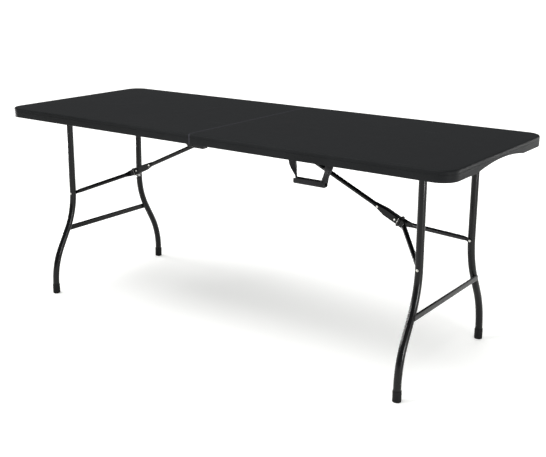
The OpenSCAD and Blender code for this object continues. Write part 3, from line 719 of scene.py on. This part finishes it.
def foot():
    # cap with two grip grooves near the sole and a thin lip; heights in mm, radii as shares
    r, h = legs["tube"] + legs["capWall"], legs["capHeight"]
    profile = [(-0.4, 0.3), (-0.4, 0.55), (0.2, 0.8), (1.2, 0.93), (3, 1), (6, 1), (6.4, 0.965), (7.4, 0.965),
               (7.8, 1), (10.5, 1), (10.9, 0.965), (11.9, 0.965), (12.3, 1), (h / mm - 4.4, 1),
               (h / mm - 3.9, 1), (h / mm - 1.2, 1), (h / mm - 0.3, 0.975), (h / mm, 0.93),
               (h / mm, 0.885), (h / mm - 6, 0.885)]
    shape = turned([(height * mm, share * r) for height, share in profile], 48)
    verts, faces = moved(shape, legFrame @ Matrix.Translation((0, footY, -legLength)))
    # the leg leans, so the sole is worn flat on the floor
    return [Vector((v.x, v.y, max(v.z, 0))) for v in verts], faces


def crossbar():
    # flat-oval tube whose ends are pinched onto the outer side of the legs
    s = legLength - legs["barZ"] / -legDown.z
    barY, _ = placeOnLeg(s)
    end = barY + 2 * mm
    stations = [(-end, 0.4), (-end + 0.6 * mm, 0.75), (-end + 2 * mm, 0.93), (-end + 4 * mm, 1)]
    path, sizes = [], []
    for y, size in stations + [(-y, size) for y, size in reversed(stations)]:
        path.append((legs["barOut"], y, -s))
        sizes.append(size)

    def outline(i):
        size = sizes[i]
        return [(u * (0.9 + 0.1 * size), v * size) for u, v in
                roundedRect(legs["barThick"], legs["barHeight"], legs["barThick"] / 2, 8)]

    return moved(sweep(path, outline, (1, 0, 0)), legFrame)


def crossbarBead():
    # weld round the bar's inner end, on the leg's side face
    s = legLength - legs["barZ"] / -legDown.z
    barY, direction = placeOnLeg(s)
    points, outward = [], []
    count, r = 56, legs["tube"]
    for i in range(count):
        angle = 2 * pi * i / count
        x = legs["barOut"] + (legs["barThick"] / 2 + 0.2 * mm) * cos(angle) - 1.2 * mm
        z = (legs["barHeight"] / 2 - 0.6 * mm) * sin(angle)
        lean = direction.y / -direction.z
        side = -sqrt(max(r * r - x * x, 0)) * sqrt(1 + lean * lean)
        points.append(Vector((x, barY + side - z * lean, z - s)))
        outward.append(Vector((cos(angle), -0.5, sin(angle))))
    return moved(weldBead(points, outward, legs["bead"] * 0.8, 13), legFrame)


addFour("leg_tube", legTube(), "leg_frame", "coated_steel", "leg")
addFour("foot_cap", foot(), "leg_frame", "cap_plastic", "foot")
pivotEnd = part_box("right_pivot_tube")[1].y
pivotTube = moved(hollowTube((0, -pivotEnd, 0), (0, pivotEnd, 0), legs["tube"], legs["wall"]), legFrame)
addPair("pivot_tube_body", pivotTube, "leg_frame", "coated_steel", ["pivot_tube"])
addPair("crossbar_tube", crossbar(), "leg_frame", "coated_steel", ["leg_crossbar"])
addPair("weld_beads", joined(bothSides(pivotBead()), bothSides(crossbarBead())), "leg_frame",
        "coated_steel", crease=80)
print("leg frames made")


# Rivets

rivets = {"head": 4.4 * mm, "rise": 2 * mm, "shank": 4 * mm}


def domedHead(radius, rise, shank, depth):
    # head with a flat-topped dome above z = 0 and a shank below
    profile = [(-depth, shank), (-0.01 * mm, shank), (0, radius), (0.25 * rise, radius)]
    for k in range(1, 7):
        turn = k * pi / 12
        profile.append((rise * (0.25 + 0.75 * sin(turn)), radius * cos(turn * 0.86)))
    profile.append((rise, radius * 0.1))
    return turned(profile, 32)


legRivetLow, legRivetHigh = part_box("right_leg_rivets")
legRivet = Vector(((legRivetLow.x + legRivetHigh.x) / 2, legs["topY"] + legs["tube"],
                   (legRivetLow.z + legRivetHigh.z) / 2))
outerHead = moved(domedHead(rivets["head"], rivets["rise"], rivets["shank"], 24 * mm),
                  along(legRivet, (0, 1, 0)))
addPair("leg_rivet_heads", bothSides(outerHead), "leg_frame", "zinc_steel", ["leg_rivets"])

strutPivot, knee = jointAt("right_strut_swing"), jointAt("right_knee")
armPlace = Vector((legRivet.x, 0, legRivet.z))
braceFrame = frameAt(knee, knee - strutPivot, (0, 1, 0))  # +X runs down the brace
armLength = (armPlace - knee).length


# Brace: strut, knee channel, slip ring and arms

brace = {"tube": 8 * mm, "wall": 1.5 * mm, "sheet": 2 * mm, "channelWide": 22 * mm, "channelHigh": 24 * mm,
         "back": 86 * mm, "front": 24 * mm, "bend": 3.2 * mm, "flare": 44 * mm, "gap": 0.3 * mm,
         "thinEdge": 0.8 * mm, "strutEnd": 48 * mm}
slipRing = {"at": 16 * mm, "long": 8 * mm, "wall": 2.5 * mm, "rim": 1.0 * mm, "slack": 0.1 * mm,
            "corner": 1.8 * mm}
arms = {"flat": 2.5 * mm, "tip": 13 * mm, "wide": 24 * mm, "edge": 0.7 * mm, "flatEnd": 32 * mm,
        "neck": 22 * mm, "swayKnee": 19 * mm, "legFlat": 9 * mm, "legNeck": 15 * mm, "swayLeg": 10 * mm}
plateIn = brace["channelWide"] / 2 + brace["gap"]
plateLeg = legs["topY"] - legs["tube"] - brace["gap"] - arms["flat"]


def strutTube():
    start = -(knee - strutPivot).length - 4 * mm
    tube = hollowTube((start, 0, 0), (-brace["strutEnd"], 0, 0), brace["tube"], brace["wall"])
    return moved(tube, braceFrame)


def channel():
    # bent sheet, open below: swaged onto the strut at its start, trimmed at the lower corners past the knee
    wide, high, sheet = brace["channelWide"] / 2, brace["channelHigh"] / 2, brace["sheet"]
    tube = brace["tube"] + 0.1 * mm
    stations = []  # x, how far the sheet has opened out, lift of the lower edge
    for share in (0, 0.02, 0.12, 0.25, 0.4, 0.55, 0.7, 0.85, 1):
        stations.append((-brace["back"] + brace["flare"] * share, share ** 1.1, 0))
    stations += [(brace["front"] - 9 * mm, 1, 0), (brace["front"] - 5 * mm, 1, 0.8 * mm),
                 (brace["front"] - 2 * mm, 1, 2.4 * mm), (brace["front"], 1, 5 * mm)]
    rings = []
    for x, opened, lift in stations:
        t = brace["thinEdge"] + (sheet - brace["thinEdge"]) * opened
        w = tube + t + (wide - sheet - tube) * opened
        h = tube + t + (high - sheet - tube) * opened
        inner = brace["tube"] * 0.9 + (brace["bend"] - sheet - brace["tube"] * 0.9) * opened
        r = inner + t
        low, edge = -h * (0.55 + 0.45 * opened) + lift, 0.25 * mm
        outerHalf = [(w - t, low + edge), (w - t + edge, low), (w - edge, low), (w, low + edge)]
        innerHalf = []
        for k in range(7):
            turn = k * pi / 12
            outerHalf.append((w - r + r * cos(turn), h - r + r * sin(turn)))
            innerHalf.append((w - r + inner * cos(turn), h - r + inner * sin(turn)))
        outline = outerHalf + [(-y, z) for y, z in reversed(outerHalf)]
        outline += [(-y, z) for y, z in innerHalf] + list(reversed(innerHalf))
        rings.append([Vector((x, y, z)) for y, z in outline])
    return moved(loft(rings), braceFrame)


def ringLine():
    # middle line of the slip ring's wall, round the channel and the arms' flat ends
    slack, wall = slipRing["slack"], slipRing["wall"]
    gap = brace["gap"] + slack
    inY, inZ = plateIn + arms["flat"] + slack + gap, brace["channelHigh"] / 2 + gap
    outline = roundedRect(2 * inY + wall, 2 * inZ + wall, slipRing["corner"], 7)
    return [(slipRing["at"], y, z) for y, z in outline]


def ringStrip(long, wall, edge, shift):
    section = roundedRect(long, wall, edge, 4)
    path = [Vector(point) + Vector((shift, 0, 0)) for point in ringLine()]
    return moved(sweep(path, section, (1, 0, 0), closed=True), braceFrame)


def lockRing():
    # the dark part of the strip, set back from the rim
    return ringStrip(slipRing["long"] - 0.6 * mm, slipRing["wall"], 0.5 * mm, 0.3 * mm)


def ringHighlightRim():
    # cut edge of the ring's strip on the strut's side, in bare zinc: the cut metal is real, but drawing only this
    # side bright is a painted highlight, as the far cut edge stays dark
    shift = 0.5 * mm - slipRing["long"] / 2
    return ringStrip(slipRing["rim"], slipRing["wall"] - 0.06 * mm, 0.35 * mm, shift)


def pressed(share, high):
    # thickness, height and corner radius of a tube between its flat end, share 0, and its round part, share 1
    ease = share * share * (3 - 2 * share)
    full = 2 * brace["tube"]
    return (arms["flat"] + (full - arms["flat"]) * ease, high + (full - high) * ease,
            arms["edge"] + (brace["tube"] - arms["edge"]) * ease)


def braceArm():
    # tube pressed flat at both ends, lofted from plate to round and back
    tip, flat, edge = arms["tip"] / 2, arms["flat"], arms["edge"]
    kneeY, legY = plateIn + flat / 2, plateLeg + flat / 2
    roundTip = (0.06, 0.3, 0.6, 0.85, 1)
    stations = []  # x, y, thickness, height, corner radius
    for k in roundTip:
        stations.append((-tip * sqrt(1 - k * k), kneeY, flat, 2 * tip * k, edge))
    # past its round tip the plate widens; these are millimetres along and high
    for x, height in ((4, 13), (9, 15), (14, 18.5), (19, 21.8), (24, 23.6), (32, 24)):
        stations.append((x * mm, kneeY, flat, height * mm, edge))
    first = Vector((arms["flatEnd"] + arms["neck"], plateIn + arms["swayKnee"]))
    last = Vector((armLength - arms["legFlat"] - arms["legNeck"], plateLeg - arms["swayLeg"]))
    for share in (0.12, 0.25, 0.4, 0.55, 0.7, 0.85, 1):
        x = arms["flatEnd"] + arms["neck"] * share
        y = kneeY + (first.y - kneeY) * (0.35 * share + 0.65 * share ** 1.6)
        stations.append((x, y, *pressed(share, arms["wide"])))
    for share in (0.25, 0.5, 0.75):
        point = first + (last - first) * share
        stations.append((point.x, point.y, *pressed(1, 0)))
    for share in (1, 0.88, 0.7, 0.5, 0.3, 0.15):
        x = armLength - arms["legFlat"] - arms["legNeck"] * share
        y = legY + (last.y - legY) * (0.5 * share + 0.5 * share ** 1.5)
        stations.append((x, y, *pressed(share, arms["tip"])))
    for k in reversed(roundTip):
        stations.append((armLength + tip * sqrt(1 - k * k), legY, flat, 2 * tip * k, edge))
    rings = []
    for i, (x, y, width, height, radius) in enumerate(stations):
        before, after = stations[max(i - 1, 0)], stations[min(i + 1, len(stations) - 1)]
        heading = Vector((after[0] - before[0], after[1] - before[1], 0)).normalized()
        across = Vector((-heading.y, heading.x, 0))
        rings.append([Vector((x, y, 0)) + across * u + Vector((0, 0, v))
                      for u, v in roundedRect(width, height, radius, 8)])
    return moved(loft(rings), braceFrame)


addFour("arm_tube", braceArm(), "brace", "coated_steel", "arm")
addPair("strut_tube", strutTube(), "strut", "coated_steel", ["strut"])
addPair("knee_channel_sheet", channel(), "strut", "coated_steel", ["knee_channel"])
addPair("lock_ring_strip", lockRing(), "ring", "coated_steel", ["lock_ring"])
# bare zinc on the strut's side only: a painted highlight on one edge of the ring
addPair("lock_ring_highlight_rim", ringHighlightRim(), "ring", "zinc_steel")

armHead = moved(domedHead(rivets["head"], rivets["rise"], rivets["shank"], 2 * mm),
                braceFrame @ along((armLength, plateLeg, 0), (0, -1, 0)))
addPair("arm_rivet_heads", bothSides(armHead), "brace", "zinc_steel", ["arm_rivets"])
print("brace made")


# Carry handle

handle = {"width": 157 * mm, "loop": 26 * mm, "loopWall": 3.4 * mm, "loopBevel": 1.2 * mm, "drop": 80 * mm,
          "gripWide": 24 * mm, "gripHigh": 17 * mm, "gripWall": 3.5 * mm, "gripRound": 6 * mm,
          "strapDeep": 8 * mm, "strapThin": 5 * mm, "strapRound": 1.6 * mm, "yaw": 40}
handlePlace = jointAt("handle_swing")


def handleLoop(bore, outer, end):
    # ring round the rail, with its outer edges broken
    bevel, long = handle["loopBevel"], handle["loop"]
    profile = [(0, bore), (0, outer - bevel), (0.35 * bevel, outer - 0.35 * bevel), (bevel, outer),
               (long - bevel, outer), (long - 0.35 * bevel, outer - 0.35 * bevel), (long, outer - bevel),
               (long, bore)]
    rings = [[Vector((x, y, z)) for x, y in circle(r, 48)] for z, r in profile]
    return moved(loft(rings, cyclic=True), along((end - long, 0, 0), (1, 0, 0)))


def handleStrap(outer, middle, gripX):
    # strap that leaves the loop broad along the rail and turns edge-on as it meets the grip
    wide, thin, deep = handle["loop"] * 0.98, handle["strapThin"], handle["strapDeep"]
    topZ, lowZ = -outer + 2.5 * mm, -handle["drop"] + handle["gripHigh"] - 3 * mm
    rings = []
    for k in range(13):
        share = k / 12
        ease = share * share * (3 - 2 * share)
        x = middle + (gripX - 4 * mm - middle) * ease
        z = topZ + (lowZ - topZ) * share
        yaw = radians(-handle["yaw"] * ease)
        outline = roundedRect(wide + (thin - wide) * ease,
                              deep + (handle["gripWide"] - 2 * mm - deep) * ease, handle["strapRound"])
        rings.append([Vector((x + u * cos(yaw) - v * sin(yaw), u * sin(yaw) + v * cos(yaw), z))
                      for u, v in outline])
    return loft(list(reversed(rings)))


def handleGrip(gripX):
    # trough with its open side up and a rounded back for the fingers
    half, high, wall, r = handle["gripWide"] / 2, handle["gripHigh"], handle["gripWall"], handle["gripRound"]
    outline = [(-half + wall, high - 0.8 * mm), (-half + wall - 0.8 * mm, high), (-half + 0.8 * mm, high),
               (-half, high - 0.8 * mm)]
    for k in range(7):
        turn = pi + k * pi / 12
        outline.append((-half + r + r * cos(turn), r + r * sin(turn)))
    outline += [(-y, z) for y, z in reversed(outline)]
    inside = [(half - wall, wall + 2 * mm), (half - wall - 0.6 * mm, wall + 0.6 * mm),
              (half - wall - 2 * mm, wall)]
    outline += inside + [(-y, z) for y, z in reversed(inside)]
    rings = []
    for x, share in ((-gripX, 0.93), (-gripX + 1 * mm, 0.985), (-gripX + 2.5 * mm, 1),
                     (gripX - 2.5 * mm, 1), (gripX - 1 * mm, 0.985), (gripX, 0.93)):
        rings.append([Vector((x, y * share, (z - high / 2) * share + high / 2 - handle["drop"]))
                      for y, z in outline])
    return loft(rings)


def carryHandle():
    railLow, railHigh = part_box("right_front_rail")
    bore = (railHigh.z - railLow.z) / 2 + 0.05 * mm
    outer, end = bore + handle["loopWall"], handle["width"] / 2
    gripX = end - handle["loop"] + 2 * mm
    arm = joined(handleLoop(bore, outer, end), handleStrap(outer, end - handle["loop"] / 2, gripX))
    return moved(joined(arm, mirrored(arm, 0), handleGrip(gripX)), Matrix.Translation(handlePlace))


addPiece("carry_handle_body", carryHandle(), "handle", "handle_plastic", ["carry_handle"])
print("handle made")


# CAD pieces that show as they are

kept = {"cap_plastic": ["tube_plugs"],
        "coated_steel": ["strut_carrier", "strut_bracket", "leg_bearings", "hinge_leaves"],
        "zinc_steel": ["strut_pin", "channel_rivet", "knee_pin"]}
for slot, names in kept.items():
    for name in names:
        for hand in ("right_", "left_"):
            for materialSlot in frame["nodes"][hand + name].material_slots:
                materialSlot.material = finishes[slot]
for materialSlot in frame["nodes"]["hinge_pins"].material_slots:
    materialSlot.material = finishes["coated_steel"]


# Floor, light and camera

studio = {"floor": "#f4f4f2", "floorGlow": 0.34, "floorReach": 80, "sky": "#f0f2f4", "skyStrength": 0.28,
          "sun": 3.05, "sunSoftness": 70, "sunTilt": (12, -10, 0)}
# four low softboxes shine on the rim and the legs from under the top's edge; the strip on the front
# leg stands higher
softboxes = [
    {"name": "right_softbox", "at": (3.3, -0.9, 0.37), "aim": (0.9, -0.2, 0.4), "size": (0.5, 0.66),
     "watts": 5, "spread": 70},
    {"name": "back_right_softbox", "at": (2.6, 2.9, 0.6), "aim": (0.9, 0, 1.05), "size": (1.2, 0.25),
     "watts": 1.2, "spread": 24},
    {"name": "left_softbox", "at": (-3.2, 0.1, 0.37), "aim": (-0.9, -0.2, 0.4), "size": (0.9, 0.66),
     "watts": 9, "spread": 70},
    {"name": "front_left_strip", "at": (-1.8, -2.2, 1.6), "aim": (0.77, -0.3, 0.2), "size": (0.25, 1.2),
     "watts": 3, "spread": 40},
    {"name": "back_wall", "at": (-1, 4, 0.37), "aim": (0, 0, 0.4), "size": (5, 0.66), "watts": 20,
     "spread": 70}]
view = {"at": (1.875, -2.484, 1.268), "tilt": 71.6, "turn": 37.29, "lens": 58.3, "shift": (0.0414, 0.0496)}


def plainFloor():
    material, shader, _ = newMaterial("pale_floor", {"gloss": 0.1})
    shader.inputs["Base Color"].default_value = linear(studio["floor"])
    shader.inputs["Roughness"].default_value = 0.9
    # a sweep lit from below keeps the shadow under the table faint
    shader.inputs["Emission Color"].default_value = linear(studio["floor"])
    shader.inputs["Emission Strength"].default_value = studio["floorGlow"]
    reach = studio["floorReach"]
    mesh = bpy.data.meshes.new("floor")
    mesh.from_pydata([(-reach, -reach, 0), (reach, -reach, 0), (reach, reach, 0), (-reach, reach, 0)], [],
                     [(0, 1, 2, 3)])
    mesh.materials.append(material)
    floor = bpy.data.objects.new("floor", mesh)
    bpy.context.scene.collection.objects.link(floor)


def softbox(look):
    light = bpy.data.lights.new(look["name"], "AREA")
    light.shape = "RECTANGLE"
    light.size, light.size_y = look["size"]
    light.energy = look["watts"]
    light.spread = radians(look["spread"])
    light.diffuse_factor = 0.1  # shine without lighting the black faces
    lamp = bpy.data.objects.new(look["name"], light)
    lamp.location = look["at"]
    lamp.rotation_mode = "QUATERNION"
    lamp.rotation_quaternion = (Vector(look["at"]) - Vector(look["aim"])).to_track_quat("Z", "Y")
    lamp.visible_camera = False
    bpy.context.scene.collection.objects.link(lamp)


def skyAndSun():
    world = bpy.data.worlds.new("studio")
    bpy.context.scene.world = world
    world.use_nodes = True
    background = world.node_tree.nodes["Background"]
    background.inputs["Color"].default_value = linear(studio["sky"])
    background.inputs["Strength"].default_value = studio["skyStrength"]
    sun = bpy.data.lights.new("overhead", "SUN")
    sun.energy = studio["sun"]
    sun.angle = radians(studio["sunSoftness"])
    lamp = bpy.data.objects.new("overhead", sun)
    lamp.rotation_euler = [radians(angle) for angle in studio["sunTilt"]]
    bpy.context.scene.collection.objects.link(lamp)


def threeQuarterCamera():
    lens = bpy.data.cameras.new("camera")
    lens.sensor_width = 36
    lens.lens = view["lens"]
    lens.shift_x, lens.shift_y = view["shift"]
    camera = bpy.data.objects.new("camera", lens)
    camera.location = view["at"]
    camera.rotation_euler = (radians(view["tilt"]), 0, radians(view["turn"]))
    bpy.context.scene.collection.objects.link(camera)
    bpy.context.scene.camera = camera


plainFloor()
skyAndSun()
for look in softboxes:
    softbox(look)
threeQuarterCamera()
bpy.context.scene.view_settings.view_transform = "Standard"
print("stage set")
